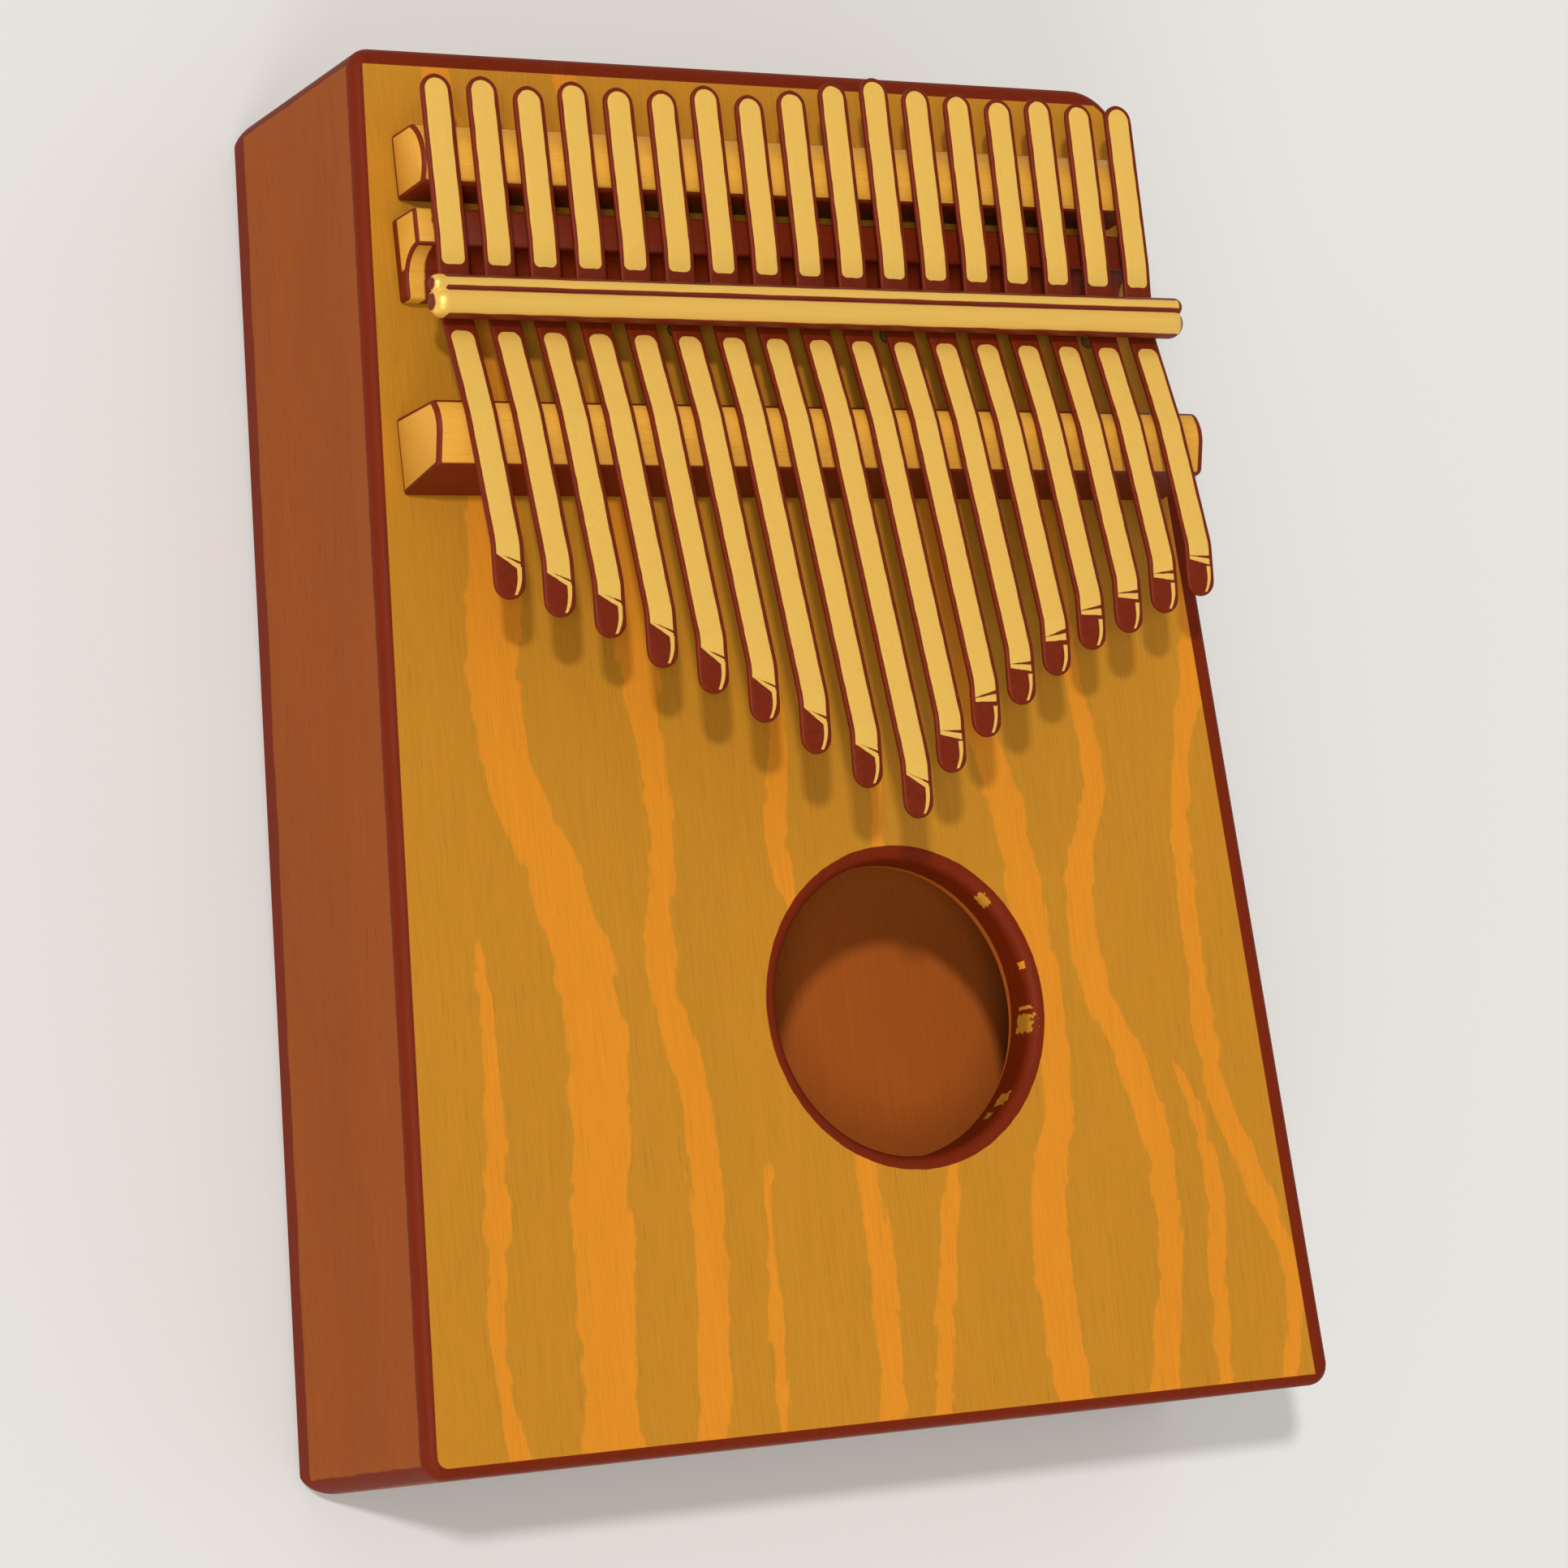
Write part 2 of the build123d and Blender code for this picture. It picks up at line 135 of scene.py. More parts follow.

# Broad grain streaks on the soundboard: (y, x, half width) from the head towards the foot, in mm.
STREAKS = (
    ((94, -50, 2.0), (32, -48, 4.1), (0, -50.5, 3.8), (-20, -44, 4.2), (-37, -41, 4.4), (-63, -43, 4.2),
     (-95, -45, 4.0)),
    ((-26, -57, 0.4), (-45, -57, 1.2), (-60, -58, 1.6), (-78, -60, 1.0), (-95, -58, 1.6)),
    ((94, -30, 1.6), (30, -28.6, 2.8), (12, -28.6, 3.0), (-2, -28, 2.1), (-15, -28, 1.8), (-32, -30, 2.2),
     (-50, -27, 2.4), (-95, -30, 2.2)),
    ((26, -10, 1.2), (1, -8, 1.4), (-14, -10, 1.6), (-30, -7, 0.6)),
    ((-56, -2, 1.6), (-72, -1, 1.8), (-95, -2, 2.0)),
    ((-58, -17, 0.3), (-70, -18, 0.8), (-95, -19, 0.9)),
    ((-4, 7, 0.9), (-18, 6, 0.9)),
    ((-56, 13, 1.0), (-76, 9, 1.4), (-95, 6, 1.6)),
    ((94, 20, 1.6), (32, 22, 2.4), (6, 24, 2.6), (-11, 28, 2.6), (-30, 30, 3.0), (-50, 31, 2.4),
     (-68, 27, 3.0), (-95, 28, 2.8)),
    ((60, 40, 1.2), (7, 42, 1.4), (-8, 43, 1.8), (-20, 39, 2.4), (-34, 39, 2.2), (-48, 44, 2.6),
     (-66, 47, 2.2), (-95, 42, 2.4)),
    ((40, 63, 1.2), (8, 63, 2.6), (-3, 59, 1.6), (-36, 57, 1.6), (-52, 58, 1.8), (-66, 63, 2.0),
     (-80, 67, 1.4), (-95, 64, 1.6)),
    ((-48, 51, 0.4), (-60, 55, 1.3), (-82, 54, 1.4), (-95, 53, 1.2)),
)

# Gold spots on the hole's right-hand wall, where the dark stain is left off: (angle in degrees, height above
# the soundboard's top, half length along the wall, half height), in mm apart from the angle.
GOLD_SPOTS = (
    (44, -1.0, 1.1, 0.7),
    (14, -0.9, 0.5, 0.45),
    (-2.5, -1.9, 0.22, 1.3),
    (-8.5, -2.2, 1.3, 1.7),
    (-41, -2.7, 1.1, 1.2),
    (-49, -3.6, 0.6, 0.7),
)


# ================================================================ materials
def linear(colour):
    """An 8-bit sRGB colour as linear values with alpha."""
    def channel(value):
        value /= 255
        return value / 12.92 if value <= 0.04045 else ((value + 0.055) / 1.055) ** 2.4

    return (*(channel(value) for value in colour), 1.0)


class Graph:
    """One material's node tree, with short calls for the nodes that the finishes use."""

    def __init__(self, name):
        self.material = bpy.data.materials.new(name)
        self.material.use_nodes = True
        self.nodes = self.material.node_tree.nodes
        self.links = self.material.node_tree.links
        self.shader = self.nodes["Principled BSDF"]
        coordinates = self.nodes.new("ShaderNodeTexCoord")
        scaled = self.nodes.new("ShaderNodeVectorMath")
        scaled.operation = "SCALE"
        scaled.inputs["Scale"].default_value = 1 / MM
        self.links.new(coordinates.outputs["Object"], scaled.inputs[0])
        self.place = scaled.outputs[0]
        split = self.nodes.new("ShaderNodeSeparateXYZ")
        self.links.new(self.place, split.inputs[0])
        self.x, self.y, self.z = split.outputs

    def feed(self, socket, value):
        """Links a socket to a value if that is a socket too, or sets it."""
        if isinstance(value, bpy.types.NodeSocket):
            self.links.new(value, socket)
        elif socket.type == "VECTOR":
            socket.default_value = value[:3]
        else:
            socket.default_value = value

    def operate(self, operation, a, b=0.0):
        """One of the math node's operations on two numbers or sockets."""
        node = self.nodes.new("ShaderNodeMath")
        node.operation = operation
        self.feed(node.inputs[0], a)
        self.feed(node.inputs[1], b)
        return node.outputs[0]

    def add(self, a, b):
        return self.operate("ADD", a, b)

    def less(self, a, b):
        """What is left of a when b is taken away."""
        return self.operate("SUBTRACT", a, b)

    def times(self, a, b):
        return self.operate("MULTIPLY", a, b)

    def largest(self, *values):
        result = values[0]
        for value in values[1:]:
            result = self.operate("MAXIMUM", result, value)
        return result

    def size(self, value):
        """The value without its sign."""
        return self.operate("ABSOLUTE", value)

    def diagonal(self, a, b):
        """The length of a step with these two parts."""
        return self.operate("SQRT", self.add(self.times(a, a), self.times(b, b)))

    def parts_of(self, attribute):
        """The three parts of a vector held in the mesh."""
        node = self.nodes.new("ShaderNodeAttribute")
        node.attribute_name = attribute
        split = self.nodes.new("ShaderNodeSeparateXYZ")
        self.links.new(node.outputs["Vector"], split.inputs[0])
        return split.outputs

    def facing(self):
        """The three parts of the direction that the surface looks in."""
        geometry = self.nodes.new("ShaderNodeNewGeometry")
        split = self.nodes.new("ShaderNodeSeparateXYZ")
        self.links.new(geometry.outputs["Normal"], split.inputs[0])
        return split.outputs

    def radius_about(self, x, y):
        """Distance in plan from one place, in mm."""
        node = self.nodes.new("ShaderNodeVectorMath")
        node.operation = "DISTANCE"
        self.links.new(self.stretched(1, 1, 0), node.inputs[0])
        node.inputs[1].default_value = (x, y, 0)
        return node.outputs["Value"]

    def step(self, value, low, high):
        """0 below low and 1 above high, smooth between them; high may be the smaller one."""
        node = self.nodes.new("ShaderNodeMapRange")
        node.interpolation_type = "SMOOTHSTEP"
        self.feed(node.inputs["Value"], value)
        if low <= high:
            ends = (low, high, 0.0, 1.0)
        else:
            ends = (high, low, 1.0, 0.0)
        for name, end in zip(("From Min", "From Max", "To Min", "To Max"), ends):
            node.inputs[name].default_value = end
        return node.outputs[0]

    def above(self, value, limit, softness):
        """1 above the limit and 0 below it, smooth within this softness of it."""
        return self.step(value, limit - softness, limit + softness)

    def below(self, value, limit, softness):
        """1 below the limit and 0 above it, smooth within this softness of it."""
        return self.step(value, limit + softness, limit - softness)

    def ragged(self, vector, depth, scale=1.0, detail=3.0):
        """A wander to both sides of 0, which roughens a border; depth is the noise's whole range."""
        return self.times(self.less(self.pattern(vector, scale, detail), 0.5), depth)

    def stretched(self, x, y, z):
        """The place multiplied by three factors, for patterns that run along one direction."""
        node = self.nodes.new("ShaderNodeVectorMath")
        node.operation = "MULTIPLY"
        self.links.new(self.place, node.inputs[0])
        node.inputs[1].default_value = (x, y, z)
        return node.outputs[0]

    def pattern(self, vector, scale=1.0, detail=3.0, distortion=0.0):
        """Noise between 0 and 1 at each place."""
        node = self.nodes.new("ShaderNodeTexNoise")
        self.links.new(vector, node.inputs["Vector"])
        node.inputs["Scale"].default_value = scale
        node.inputs["Detail"].default_value = detail
        node.inputs["Distortion"].default_value = distortion
        return node.outputs["Fac"]

    def mix(self, factor, a, b):
        """Colour a where the factor is 0 and colour b where it is 1."""
        node = self.nodes.new("ShaderNodeMix")
        node.data_type = "RGBA"
        shown = [socket for socket in node.inputs if socket.enabled]
        for socket, value in zip(shown, (factor, a, b)):
            self.feed(socket, value)
        return next(socket for socket in node.outputs if socket.enabled)

    def shade(self, colour, factor, low, high):
        """A colour made darker or lighter: times low where factor is 0 and times high where it is 1."""
        node = self.nodes.new("ShaderNodeMapRange")
        self.feed(node.inputs["Value"], factor)
        node.inputs["To Min"].default_value = low
        node.inputs["To Max"].default_value = high
        scaled = self.nodes.new("ShaderNodeVectorMath")
        scaled.operation = "SCALE"
        self.feed(scaled.inputs[0], colour)
        self.links.new(node.outputs[0], scaled.inputs["Scale"])
        return scaled.outputs[0]

    def curve(self, value, points, low, high):
        """A curve through (value, result) points, with results between low and high."""
        start = min(at for at, _ in points)
        end = max(at for at, _ in points)
        share = self.times(self.less(value, start), 1 / (end - start))
        node = self.nodes.new("ShaderNodeFloatCurve")
        self.links.new(share, node.inputs["Value"])
        line = node.mapping.curves[0]
        placed = (((at - start) / (end - start), (result - low) / (high - low)) for at, result in points)
        for number, (at, result) in enumerate(sorted(placed)):
            point = line.points[number] if number < 2 else line.points.new(at, result)
            point.location = (at, result)
        node.mapping.update()
        return self.add(self.times(node.outputs[0], high - low), low)

    def finish(self, colour, roughness, bump=None, strength=0.2, distance=0.02 * MM, gloss=0.18):
        """Links the finish to the shader and gives its material."""
        self.shader.inputs["Specular IOR Level"].default_value = gloss
        self.feed(self.shader.inputs["Base Color"], colour)
        self.feed(self.shader.inputs["Roughness"], roughness)
        if bump is not None:
            node = self.nodes.new("ShaderNodeBump")
            node.inputs["Strength"].default_value = strength
            node.inputs["Distance"].default_value = distance
            self.links.new(bump, node.inputs["Height"])
            self.links.new(node.outputs[0], self.shader.inputs["Normal"])
        return self.material


def wood_grain(graph, along, fineness=1.0):
    """Fine fibres and pores that run along one axis, as two factors."""
    squeeze = {"x": (0.03, 1, 1), "y": (1, 0.03, 1), "z": (1, 1, 0.03)}[along]
    fibres = graph.pattern(graph.stretched(*squeeze), 2.2 * fineness, 5, 0.4)
    pores = graph.pattern(graph.stretched(*(2.4 * factor for factor in squeeze)), 2.6 * fineness, 2)
    return fibres, graph.step(pores, 0.60, 0.72)


def streak_mask(graph, points):
    """1 inside one broad grain streak of the soundboard, with a wavering edge."""
    ys = [y for y, _, _ in points]
    centre = graph.curve(graph.y, [(y, x) for y, x, _ in points], -75, 75)
    half = graph.curve(graph.y, [(y, width) for y, _, width in points], 0, 8)
    waver = graph.pattern(graph.stretched(0.25, 0.12, 0.25), 1.3, 4, 0.6)
    away = graph.size(graph.less(graph.x, centre))
    edge = graph.less(graph.less(away, half), graph.times(graph.less(waver, 0.5), 3.4))
    between_ends = graph.times(graph.above(graph.y, min(ys), 1), graph.below(graph.y, max(ys), 1))
    return graph.times(graph.below(edge, 0, 0.22), between_ends)


def gold_spot(graph, angle, height, half_length, half_height):
    """1 at one gold spot on the hole's wall, where the dark stain is left off."""
    turn = math.radians(angle)
    spot_x = HOLE_X + HOLE_RADIUS * math.cos(turn)
    spot_y = HOLE_Y + HOLE_RADIUS * math.sin(turn)
    along = graph.add(graph.times(graph.less(graph.x, spot_x), -math.sin(turn) / half_length),
                      graph.times(graph.less(graph.y, spot_y), math.cos(turn) / half_length))
    down = graph.times(graph.less(graph.z, BOARD_TOP + height), 1 / half_height)
    away = graph.largest(graph.size(along), graph.size(down))
    inside = graph.below(graph.add(away, graph.ragged(graph.place, 1.2, 1.4, 2)), 1, 0.1)
    return graph.times(inside, graph.above(graph.x, HOLE_X + 0.5, 0.5))


def half_width(graph):
    """Half the box's width at each place along it."""
    return graph.add(graph.times(graph.y, -BOX_TAPER), BOX_MEAN_HALF_WIDTH)


def near_corner(graph, wander):
    """1 beside the box's upright corners, with a border that this wander roughens."""
    from_end = graph.less(BOARD_HIGH.y, graph.size(graph.y))
    from_side = graph.less(half_width(graph), graph.size(graph.x))
    return graph.below(graph.add(graph.largest(from_end, from_side), wander), CORNER_BORDER, 0.15)


def soundboard_wood():
    """Golden lacquered wood with broad orange streaks and a dark stained rim."""
    graph = Graph("soundboard_wood")
    fibres, pores = wood_grain(graph, "y")
    cloud = graph.pattern(graph.stretched(0.05, 0.012, 0.05), 1.0, 3, 0.5)
    streaks = graph.largest(*(streak_mask(graph, points) for points in STREAKS))
    colour = graph.mix(streaks, linear(GOLD_WOOD), linear(ORANGE_GRAIN))
    colour = graph.shade(colour, fibres, 0.90, 1.09)
    colour = graph.shade(colour, cloud, 0.94, 1.06)
    colour = graph.shade(colour, pores, 1.0, 0.86)

    scuffed = graph.stretched(0.4, 0.4, 0.4)
    off_the_top = graph.step(graph.less(graph.z, BOARD_TOP), -0.003, -0.012)
    from_hole = graph.radius_about(HOLE_X, HOLE_Y)
    border_radius = HOLE_RADIUS + HOLE_BORDER
    by_hole = graph.below(graph.add(from_hole, graph.ragged(scuffed, 0.3, 1.0, 4)), border_radius, 0.05)
    from_side = graph.less(half_width(graph), graph.x)
    from_head = graph.less(BOARD_HIGH.y, graph.y)
    by_edge = graph.below(graph.operate("MINIMUM", from_side, graph.add(from_head, 0.5)), EDGE_BORDER, 0.05)
    rim = graph.largest(off_the_top, by_hole, by_edge)
    outside = graph.above(from_hole, border_radius, 0.1)
    gold_spots = graph.largest(*(gold_spot(graph, *spot) for spot in GOLD_SPOTS))
    rim = graph.times(rim, graph.largest(outside, graph.less(1.0, gold_spots)))
    colour = graph.mix(rim, colour, graph.shade(linear(DARK_STAIN), fibres, 0.8, 1.2))

    # A painted highlight: a thin light-brown arc along the hole wall's lower edge, up to 1 mm high, towards
    # the head's right corner.
    to_head_and_right = graph.add(graph.less(graph.x, HOLE_X), graph.less(graph.y, HOLE_Y))
    arc_height = graph.times(to_head_and_right, 1.0 / (HOLE_RADIUS * math.sqrt(2)))
    arc = graph.below(graph.less(graph.z, graph.add(arc_height, BOARD_LOW.z)), 0, 0.05)
    colour = graph.mix(graph.times(arc, graph.less(1.0, outside)), colour, linear(BARE_AND_LIT_WOOD))

    # The board's own sides are brown below the stained border, except at the box's corners.
    height = graph.add(graph.z, graph.ragged(scuffed, 0.5, 1.0, 4))
    lower = graph.below(height, BOARD_TOP - BOARD_SIDE_BORDER, 0.15)
    brown_side = graph.less(graph.times(lower, outside), near_corner(graph, 0.0))
    colour = graph.mix(brown_side, colour, graph.shade(linear(BROWN_WOOD), fibres, 0.86, 1.12))
    roughness = graph.add(graph.times(fibres, 0.16), graph.add(graph.times(rim, 0.08), 0.38))
    grain = graph.less(fibres, graph.times(pores, 0.8))
    return graph.finish(colour, roughness, grain, 0.35, 0.05 * MM, gloss=0.1)


def body_wood():
    """Red-brown stained wood, darker along the back's edges and at the corners, and bare inside the box,
    where the upward faces are lightened as painted light.
    """
    graph = Graph("body_wood")
    fibres, pores = wood_grain(graph, "y", 0.8)
    cloud = graph.pattern(graph.stretched(0.06, 0.015, 0.06), 1.0, 3, 0.6)
    colour = graph.shade(linear(BROWN_WOOD), fibres, 0.8, 1.18)
    colour = graph.shade(colour, cloud, 0.86, 1.14)
    colour = graph.shade(colour, pores, 1.0, 0.8)
    rubbed = graph.stretched(0.3, 0.1, 0.3)
    upward = graph.facing()["Z"]
    height = graph.add(graph.z, graph.ragged(rubbed, 1.2, 1.0, 4))
    not_under = graph.above(upward, -0.875, 0.075)
    low_edge = graph.times(graph.below(height, BOX_BOTTOM + BACK_BORDER, 0.25), not_under)
    corner = near_corner(graph, graph.ragged(rubbed, 0.6, 1.0, 4))
    stain = graph.shade(linear(DARK_STAIN), fibres, 0.8, 1.2)
    colour = graph.mix(graph.largest(low_edge, corner), colour, stain)
    # Painted light: the upward faces inside the box are lightened, standing in for the light through the
    # hole on bare wood.
    deep = graph.below(graph.z, BOARD_LOW.z - BARE_WOOD_DEPTH, 0.5)
    inside = graph.times(graph.above(upward, 0.6, 0.1), deep)
    colour = graph.mix(inside, colour, graph.shade(linear(BARE_AND_LIT_WOOD), fibres, 0.88, 1.1))
    roughness = graph.add(graph.times(fibres, 0.2), 0.42)
    return graph.finish(colour, roughness, graph.less(fibres, pores), 0.35, 0.05 * MM, gloss=0.08)


def rail_wood(name, dark=None, right_end=None):
    """Honey-coloured hardwood with its grain along X.

    It is darkened with painted shade where the rule dark says, and stained in a band before the right end
    and low on the left end.
    """
    graph = Graph(name)
    fibres, pores = wood_grain(graph, "x", 1.2)
    cloud = graph.pattern(graph.stretched(0.03, 0.15, 0.15), 1.0, 3, 0.5)
    colour = graph.shade(linear(HONEY_WOOD), fibres, 0.88, 1.08)
    colour = graph.shade(colour, cloud, 0.93, 1.06)
    colour = graph.shade(colour, pores, 1.0, 0.84)
    if dark is not None:
        beside_end = graph.below(graph.facing()["X"], 0.8, 0.1)
        band = graph.times(graph.above(graph.x, right_end - RAIL_END_BORDER, 0.1), beside_end)
        foot = graph.times(graph.below(graph.z, BOARD_TOP + RAIL_FOOT_BORDER, 0.15), facing_left(graph))
        # The rule's dark faces are painted shade; the band before the right end and the foot are stain.
        stain_and_shade = graph.largest(dark(graph), band, foot)
        colour = graph.mix(stain_and_shade, colour, graph.shade(linear(DARK_STAIN), fibres, 0.8, 1.25))
    roughness = graph.add(graph.times(fibres, 0.2), 0.4)
    return graph.finish(colour, roughness, graph.less(fibres, pores), 0.35, 0.04 * MM)


def front_shade(graph):
    """1 on faces that look towards the foot of the box, where the rails get painted shade."""
    return graph.below(graph.facing()["Y"], -0.6, 0.1)


def facing_left(graph):
    """1 on faces that look to the left."""
    return graph.below(graph.facing()["X"], -0.8, 0.1)


def shade_under_tines(graph):
    """Painted shade: 1 on the middle block between the outermost tines, and low down and in front on its
    left end.
    """
    from_middle = graph.add(graph.size(graph.x), graph.ragged(graph.place, 0.8, 0.6))
    between = graph.below(from_middle, MIDDLE_HIGH.x - OUTER_TINE_MARGIN, 0.2)
    foot = graph.below(graph.z, BOARD_TOP + MIDDLE_FOOT_BORDER, 0.2)
    front = graph.below(graph.y, MIDDLE_LOW.y + MIDDLE_FRONT_BORDER, 0.25)
    return graph.largest(between, graph.times(facing_left(graph), graph.largest(foot, front)))


# The wooden rails: (node, where the wood gets painted shade, width of the rounded edges in mm).
RAILS = (
    ("rear_bridge", front_shade, 0.5),
    ("middle_block", shade_under_tines, 0.45),
    ("front_bridge", front_shade, 0.6),
)


def edge_stain():
    """The dark stain along the rails' rounded edges."""
    graph = Graph("edge_stain")
    fibres, _ = wood_grain(graph, "x")
    return graph.finish(graph.shade(linear(DARK_STAIN), fibres, 0.8, 1.25), 0.5, fibres, 0.3)


def bands_and_painted_light(graph):
    """Distance in mm from the border of a tine's bright bands, negative inside, read from the mesh: polish
    that stops for painted shade under the bar and on the turned-down tip, and a painted highlight on the
    tip.
    """
    across, crease, up = graph.parts_of("lay")         # crease: how far past the crease, towards the tip
    across = graph.add(across, POLISH_SHIFT)
    y, tail, variation = graph.parts_of("span")        # tail: how far before the end of the tail
    width = graph.size(across)

    def end(run, radius):
        """A band that starts where run is 0 and has this corner radius there."""
        sideways = graph.largest(graph.less(width, POLISH_HALF_WIDTH - radius), 0.0)
        return graph.less(graph.diagonal(sideways, graph.largest(graph.less(radius, run), 0.0)), radius)

    behind = graph.largest(end(graph.less(tail, TINE_WIDTH / 2 - POLISH_HALF_WIDTH), POLISH_HALF_WIDTH),
                           end(graph.less(y, SHADE_STARTS_BEHIND_BAR_Y), 0.8))

    # On the right half of the tines the variation is below 0, so the cut and the stroke are nearly level.
    turned = graph.operate("MINIMUM", variation, 0.0)
    cut_slope = graph.add(graph.times(variation, 0.3), CUT_SLOPE)
    cut = graph.less(crease, graph.add(graph.times(across, cut_slope), CUT_PAST_CREASE))
    stroke_slope = graph.add(graph.times(turned, 0.35), STROKE_SLOPE)
    stroke_start = graph.add(graph.times(turned, 0.15), STROKE_PAST_CREASE)
    from_stroke = graph.size(graph.less(crease, graph.add(graph.times(across, stroke_slope), stroke_start)))
    stroke_middle = graph.less(STROKE_HALF_WIDTH, graph.times(turned, 0.05))
    stroke = graph.less(from_stroke, graph.add(graph.times(across, 0.07), stroke_middle))
    before = graph.largest(end(graph.less(SHADE_ENDS_BEFORE_BAR_Y, y), 1.2), cut, graph.times(stroke, -1.0))

    # The glint, a painted highlight, follows the tip's right side and curves in towards its end.
    glint_start, glint_end = GLINT_ENDS
    down = graph.largest(graph.less(crease, 3.0), 0.0)
    bow = graph.add(graph.less(across, GLINT_ACROSS), graph.times(graph.times(down, down), 0.1))
    glint_half = graph.add(graph.times(crease, -0.045), 0.44)
    glint = graph.largest(graph.less(graph.size(bow), glint_half), graph.less(glint_start, crease),
                          graph.less(crease, glint_end))

    shapes = graph.operate("MINIMUM", graph.operate("MINIMUM", behind, before), glint)
    upper_face = graph.times(graph.less(0.05, up), 20)
    return graph.largest(shapes, upper_face)


def tine_steel():
    """Pale gold polished bands and a dark unpolished border, with painted shade where the tine dips under
    the bar and on its turned-down tip, and a painted highlight on the tip.
    """
    graph = Graph("tine_steel")
    brushed = graph.pattern(graph.stretched(6.0, 0.12, 6.0), 1.0, 3)
    spots = graph.pattern(graph.place, 0.9, 3)
    wander = graph.ragged(graph.stretched(0.8, 0.35, 0.8), 0.22)
    # Painted light: the bright bands are polish, stopped by painted shade under the bar and on the tip, with
    # a painted highlight on the tip.
    polish_and_painted_light = graph.below(graph.add(bands_and_painted_light(graph), wander), 0, 0.05)
    bright = graph.shade(linear(PALE_GOLD), brushed, 0.93, 1.06)
    bright = graph.shade(bright, spots, 0.95, 1.04)
    dark = graph.shade(linear(DARK_STAIN), spots, 0.75, 1.3)
    graph.feed(graph.shader.inputs["Metallic"], graph.add(graph.times(polish_and_painted_light, 0.25), 0.15))
    roughness = graph.add(graph.times(brushed, 0.12), graph.add(graph.times(polish_and_painted_light, -0.16), 0.44))
    return graph.finish(graph.mix(polish_and_painted_light, dark, bright), roughness, brushed, 0.15, 0.01 * MM, gloss=0.18)


def bar_brass():
    """Brass with painted highlights along its two ridges, and painted shade in the groove and down its lower
    sides.
    """
    graph = Graph("bar_brass")
    brushed = graph.pattern(graph.stretched(0.12, 6.0, 6.0), 1.0, 3)
    wander = graph.ragged(graph.stretched(0.15, 0.8, 0.8), 0.25)
    from_lobe = graph.size(graph.less(graph.y, BAR_LOW.y + LOBE_MIDDLE))
    from_bead = graph.size(graph.less(graph.y, BAR_HIGH.y - BEAD_MIDDLE))
    ridges = graph.operate("MINIMUM", graph.less(from_lobe, LOBE_HALF_WIDTH),
                           graph.less(from_bead, BEAD_HALF_WIDTH))
    ends = graph.less(graph.size(graph.add(graph.x, 0.4)), BAR_HIGH.x - BAR_END_BORDER)
    # Painted shade darkens the bar below this depth; the ridges carry painted highlights.
    painted_shade_below = graph.less(BAR_HIGH.z - BAR_SHADE_DEPTH, graph.z)

    # Towards the left end the painted highlight spreads over the groove and down the sides.
    left_end = graph.below(graph.x, BAR_LOW.x + 1.8, 0.4)
    across = graph.less(ridges, left_end)
    height = graph.less(painted_shade_below, graph.times(left_end, 1.2))
    away = graph.largest(across, ends, height)
    polish_and_painted_light = graph.below(graph.add(away, wander), 0, 0.08)
    bright = graph.shade(linear(PALE_GOLD), brushed, 0.93, 1.06)
    graph.feed(graph.shader.inputs["Metallic"], graph.add(graph.times(polish_and_painted_light, 0.25), 0.2))
    roughness = graph.add(graph.times(brushed, 0.12), graph.add(graph.times(polish_and_painted_light, -0.16), 0.44))
    colour = graph.mix(polish_and_painted_light, graph.shade(linear(DARK_STAIN), brushed, 0.8, 1.25), bright)
    return graph.finish(colour, roughness, brushed, 0.15, 0.01 * MM, gloss=0.4)


def fastener_zinc():
    """Dull zinc plating with a spangled surface."""
    graph = Graph("fastener_zinc")
    spangle = graph.pattern(graph.place, 1.6, 3)
    graph.shader.inputs["Metallic"].default_value = 0.9
    roughness = graph.add(graph.times(spangle, 0.3), 0.3)
    return graph.finish(graph.shade(linear(ZINC), spangle, 0.8, 1.1), roughness, spangle, 0.2)


def floor_paint():
    """Pale matt floor."""
    graph = Graph("floor_paint")
    mottle = graph.pattern(graph.place, 0.004, 3)
    return graph.finish(graph.shade(linear(FLOOR_PAINT), mottle, 0.98, 1.02), 0.85)


# ================================================================ pieces
def dress(node, material):
    """Gives a CAD node one material."""
    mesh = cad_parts[node].data
    mesh.materials.clear()
    mesh.materials.append(material)


def link(name, data):
    """An object with this data, in the scene."""
    piece = bpy.data.objects.new(name, data)
    bpy.context.scene.collection.objects.link(piece)
    return piece


def eased(name, node, material, edge, width):
    """A copy of a CAD node with its sharp edges rounded and stained, which stands for it."""
    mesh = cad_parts[node].data.copy()
    mesh.name = name
    work = bmesh.new()
    work.from_mesh(mesh)
    bmesh.ops.remove_doubles(work, verts=work.verts, dist=0.002 * MM)
    bmesh.ops.dissolve_limit(work, angle_limit=math.radians(0.6), verts=work.verts, edges=work.edges)
    work.to_mesh(mesh)
    work.free()
    mesh.materials.clear()
    mesh.materials.append(material)
    mesh.materials.append(edge)
    piece = link(name, mesh)
    rounding = piece.modifiers.new("rounding", "BEVEL")
    rounding.width = width
    rounding.segments = 3
    rounding.limit_method = "ANGLE"
    rounding.angle_limit = math.radians(32)
    rounding.material = 1
    rounding.harden_normals = True
    apply_modifiers(piece)
    piece.data.polygons.foreach_set("use_smooth", [True] * len(piece.data.polygons))
    piece.data.set_sharp_from_angle(angle=math.radians(40))
    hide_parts(node)
    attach(piece, "box")
    return piece


def apply_modifiers(piece):
    """Leaves the piece with the mesh that its modifiers make."""
    bpy.context.view_layer.update()
    evaluated = piece.evaluated_get(bpy.context.evaluated_depsgraph_get())
    mesh = bpy.data.meshes.new_from_object(evaluated)
    piece.modifiers.clear()
    piece.data = mesh


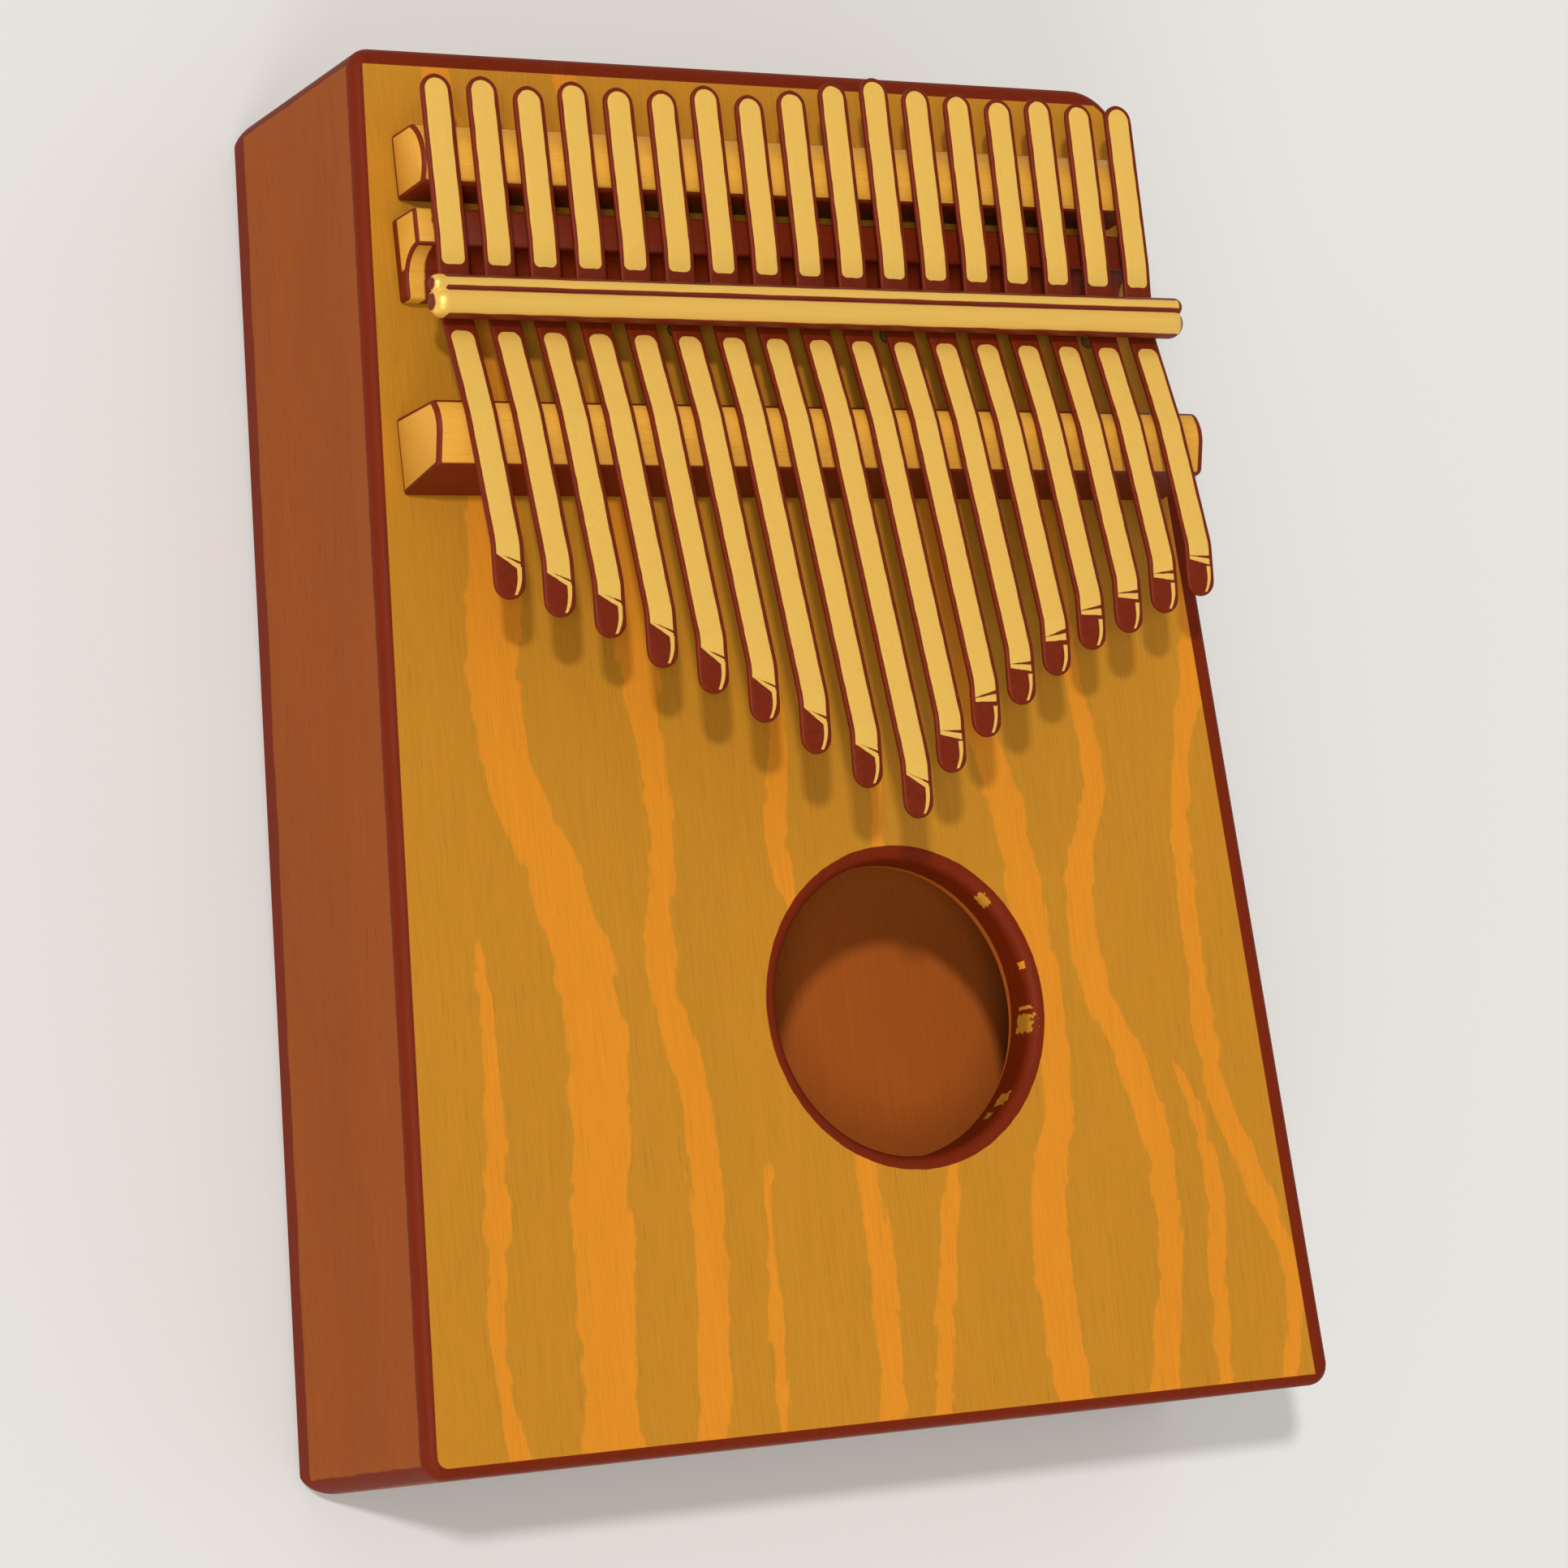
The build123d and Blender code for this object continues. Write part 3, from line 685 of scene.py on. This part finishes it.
# ---------------------------------------------------------------- tines
def rounded_path(corners, radii, spacing):
    """Points along straight runs with an arc at each inner corner; the first and last corners are ends."""
    points = [Vector(corners[0])]
    for before, corner, after, radius in zip(corners, corners[1:], corners[2:], radii):
        corner = Vector(corner)
        back = (Vector(before) - corner).normalized()
        ahead = (Vector(after) - corner).normalized()
        half = back.angle(ahead) / 2
        start = corner + back * radius / math.tan(half)
        end = corner + ahead * radius / math.tan(half)
        centre = corner + (back + ahead).normalized() * radius / math.sin(half)
        steps = max(3, round((math.pi - 2 * half) * radius / (spacing / 2)))
        for number in range(steps + 1):
            chord = start.lerp(end, number / steps) - centre
            points.append(centre + chord.normalized() * radius)
    points.append(Vector(corners[-1]))
    filled = [points[0]]
    for point in points[1:]:
        run = point - filled[-1]
        pieces = max(1, math.ceil(run.length / spacing))
        origin = filled[-1].copy()
        filled += [origin + run * number / pieces for number in range(1, pieces + 1)]
    return filled


def tine_path(tip_y, tail_y):
    """The underside of a tine from its tail to its tip, in (y, height above the soundboard)."""
    bend_y = tip_y + TIP_LENGTH
    bend_z = PATH_CREST[1] + (PATH_CREST[0] - bend_y) * BLADE_RISE
    tip_z = bend_z + TIP_LENGTH * math.tan(math.atan(BLADE_RISE) - TIP_TURN)
    corners = ((tail_y, PATH_FLAT[1]), PATH_FLAT, PATH_LOW, PATH_CREST, (bend_y, bend_z), (tip_y, tip_z))
    return rounded_path(corners, BEND_RADII, PATH_SPACING)


def with_round_ends(points, radius):
    """The path's points with more of them near its two ends, where the strip narrows to a round."""
    def near_start(line):
        direction = (line[1] - line[0]).normalized()
        kept = [point for point in line if (point - line[0]).length > radius]
        return [line[0] + direction * step for step in END_STEPS] + kept

    return near_start(near_start(points)[::-1])[::-1]


def tine(number, material):
    """One strip from tail to tip: rounded section, hammered face, domed ends and a creased tip."""
    name = f"tine_{number:02d}"
    blade_low, blade_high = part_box(f"{name}_blade")
    _, tail_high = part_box(f"{name}_tail")
    tip_y = blade_low.y / MM
    tail_y = tail_high.y / MM
    centre_x = (blade_low.x + blade_high.x) / 2 / MM
    half = TINE_WIDTH / 2
    path = with_round_ends(tine_path(tip_y, tail_y), half)
    crease_y = tip_y + TIP_LENGTH - CREASE_PAST_BEND
    variation = 0.5 + noise.noise(Vector((number * 3.7, 0.4, 0.9)))
    if centre_x > 0:
        variation -= RIGHT_HALF_SHIFT

    work = bmesh.new()
    lay = work.verts.layers.float_vector.new("lay")
    span = work.verts.layers.float_vector.new("span")
    rings = []
    for index, point in enumerate(path):
        direction = (path[min(index + 1, len(path) - 1)] - path[max(index - 1, 0)]).normalized()
        upward = Vector((direction.y, -direction.x))
        from_end = min((point - path[0]).length, (path[-1] - point).length)
        inset = max(half - from_end, 0) / half
        width = half * math.sqrt(max(1 - inset**2, 0.0004))
        thinning = 1 - END_THINNING * inset**3
        crease = CREASE_DEPTH * math.exp(-((point.x - crease_y) / CREASE_HALF_WIDTH) ** 2)
        ring = []
        for turn in range(SIDES_OF_SECTION):
            angle = math.tau * turn / SIDES_OF_SECTION
            side, lift = math.cos(angle), math.sin(angle)
            across = width * math.copysign(abs(side) ** SECTION_POWERS[0], side)
            rise = TINE_THICKNESS / 2 * thinning * math.copysign(abs(lift) ** SECTION_POWERS[1], lift)
            if lift > 0:
                hammer = noise.noise(Vector((centre_x + across, point.x * 0.8, number)) * 0.55)
                rise -= lift * (HAMMER_DEPTH * (hammer + 0.6) + crease)
            base = point + upward * (TINE_THICKNESS / 2 + rise)
            vert = work.verts.new(Vector((centre_x + across, base.x, BOARD_TOP + base.y)) * MM)
            vert[lay] = (across, crease_y - point.x, lift)
            vert[span] = (point.x, tail_y - point.x, variation)
            ring.append(vert)
        rings.append(ring)
    for first, second in zip(rings, rings[1:]):
        for turn in range(SIDES_OF_SECTION):
            after = (turn + 1) % SIDES_OF_SECTION
            work.faces.new((first[turn], second[turn], second[after], first[after]))
    work.faces.new(rings[0])
    work.faces.new(reversed(rings[-1]))
    bmesh.ops.recalc_face_normals(work, faces=work.faces)
    mesh = bpy.data.meshes.new(f"{name}_strip")
    work.to_mesh(mesh)
    work.free()
    mesh.polygons.foreach_set("use_smooth", [True] * len(mesh.polygons))
    mesh.materials.append(material)
    piece = link(f"{name}_strip", mesh)
    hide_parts(f"{name}_tail", f"{name}_blade")
    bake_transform(piece)


# ================================================================ stage
def camera():
    """A long lens that looks down on the soundboard from the left and a little from the foot."""
    data = bpy.data.cameras.new("camera")
    data.sensor_width = 36
    data.lens = 110.8
    view = link("camera", data)
    position = Vector((-346.8, -97.3, 556.0 + BOARD_TOP)) * MM
    target = Vector((-7.8, -6.5, BOARD_TOP)) * MM
    forward = (target - position).normalized()
    right = forward.cross(Vector((0.13, 1, 0))).normalized()
    up = right.cross(forward)
    turn = Matrix((right, up, -forward)).transposed().to_4x4()
    view.matrix_world = Matrix.Translation(position) @ turn
    bpy.context.scene.camera = view


def sun(name, direction, energy, angle):
    """A sun that shines from this direction, with an angle in degrees that sets how soft its shadows are."""
    light = bpy.data.lights.new(name, "SUN")
    light.energy = energy
    light.angle = math.radians(angle)
    lamp = link(name, light)
    lamp.rotation_mode = "QUATERNION"
    lamp.rotation_quaternion = Vector(direction).to_track_quat("Z", "Y")


def lights():
    """Three soft suns from the left, over an even white world."""
    sun("key", (-0.50, 0.18, 0.86), 1.3, 3.5)
    sun("fill", (-0.52, -0.18, 0.83), 0.72, 12)
    sun("front", (-0.45, -0.70, 0.55), 0.5, 25)
    world = bpy.data.worlds.new("studio")
    world.use_nodes = True
    background = world.node_tree.nodes["Background"]
    background.inputs["Color"].default_value = (1, 1, 1, 1)
    background.inputs["Strength"].default_value = 0.43
    bpy.context.scene.world = world
    bpy.context.scene.view_settings.view_transform = "Standard"


def floor():
    """A plain floor that reaches far past the camera's view."""
    reach = 3.0
    corners = [(-reach, -reach, 0), (reach, -reach, 0), (reach, reach, 0), (-reach, reach, 0)]
    mesh = bpy.data.meshes.new("floor")
    mesh.from_pydata(corners, [], [(0, 1, 2, 3)])
    mesh.materials.append(floor_paint())
    link("floor", mesh)


def main():
    body = body_wood()
    for node in ("back_board", "left_side", "right_side", "head_block", "foot_block"):
        dress(node, body)
    dress("soundboard", soundboard_wood())
    dress("bridge_brace", rail_wood("brace_wood"))
    dress("pressure_bar", bar_brass())
    zinc = fastener_zinc()
    for node in ("pressure_bar_studs", "stud_washers", "stud_nuts"):
        dress(node, zinc)
    stain = edge_stain()
    for node, rule, width in RAILS:
        wood = rail_wood(f"{node}_wood", rule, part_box(node)[1].x / MM)
        eased(f"{node}_rail", node, wood, stain, width * MM)
    steel = tine_steel()
    for number in range(1, TINE_COUNT + 1):
        tine(number, steel)
    camera()
    lights()
    floor()


main()
